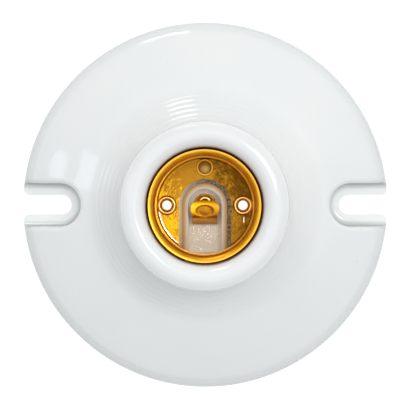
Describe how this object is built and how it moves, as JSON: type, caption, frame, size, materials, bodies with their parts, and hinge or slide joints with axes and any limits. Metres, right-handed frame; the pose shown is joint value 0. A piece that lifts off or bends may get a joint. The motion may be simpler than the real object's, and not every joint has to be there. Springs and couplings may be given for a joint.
{
  "type": "porcelain lamp holder",
  "caption": "Round glazed porcelain E27 lamp holder with a domed base, two open screw slots, a raised collar, a brass screw shell and a sprung centre contact.",
  "frame": {"origin": "centre of the base circle, on the plane of the foot ring at the back", "axes": "+Z out of the holder along the lamp's axis, X through the two screw slots, +Y towards the neutral screw"},
  "size_m": [0.0976, 0.098, 0.042],
  "materials": {
    "porcelain": "clear glaze over white porcelain, unglazed foot",
    "brass_sheet": "bright drawn and turned brass",
    "contact_brass": "spring brass strip, lightly rubbed",
    "eyelet_brass": "rolled tubular brass",
    "terminal_brass": "blanked brass plate",
    "screw_steel": "zinc plated steel"
  },
  "bodies": {
    "root": {"centre_contact": "contact_brass", "contact_rivet": "brass_sheet", "left_eyelet": "eyelet_brass", "live_terminal_plate": "terminal_brass", "neutral_terminal_plate": "terminal_brass", "porcelain_body": "porcelain", "right_eyelet": "eyelet_brass", "screw_shell": "brass_sheet"},
    "neutral_washer": {"neutral_clamp_washer": "terminal_brass"},
    "live_washer": {"live_clamp_washer": "terminal_brass"},
    "neutral_screw": {"neutral_terminal_screw": "screw_steel"},
    "live_screw": {"live_terminal_screw": "screw_steel"}
  },
  "joints": [
    {"name": "neutral_washer_slide", "type": "slide", "parent": "root", "child": "neutral_washer", "axis": [0, 0, -1], "range_m": [0, 0.0015]},
    {"name": "neutral_screw_turn", "type": "hinge", "parent": "neutral_washer", "child": "neutral_screw", "pos_m": [0, 0.0098, 0.0114], "axis": [0, 0, -1], "range_deg": [0, 900]},
    {"name": "live_washer_slide", "type": "slide", "parent": "root", "child": "live_washer", "axis": [0, 0, -1], "range_m": [0, 0.0015]},
    {"name": "live_screw_turn", "type": "hinge", "parent": "live_washer", "child": "live_screw", "pos_m": [0, -0.011, 0.0114], "axis": [0, 0, -1], "range_deg": [0, 900]}
  ],
  "couplings": [
    {"joint": "neutral_screw_turn", "follows": "neutral_washer_slide", "rad_per_m": 10472},
    {"joint": "live_screw_turn", "follows": "live_washer_slide", "rad_per_m": 10472}
  ]
}
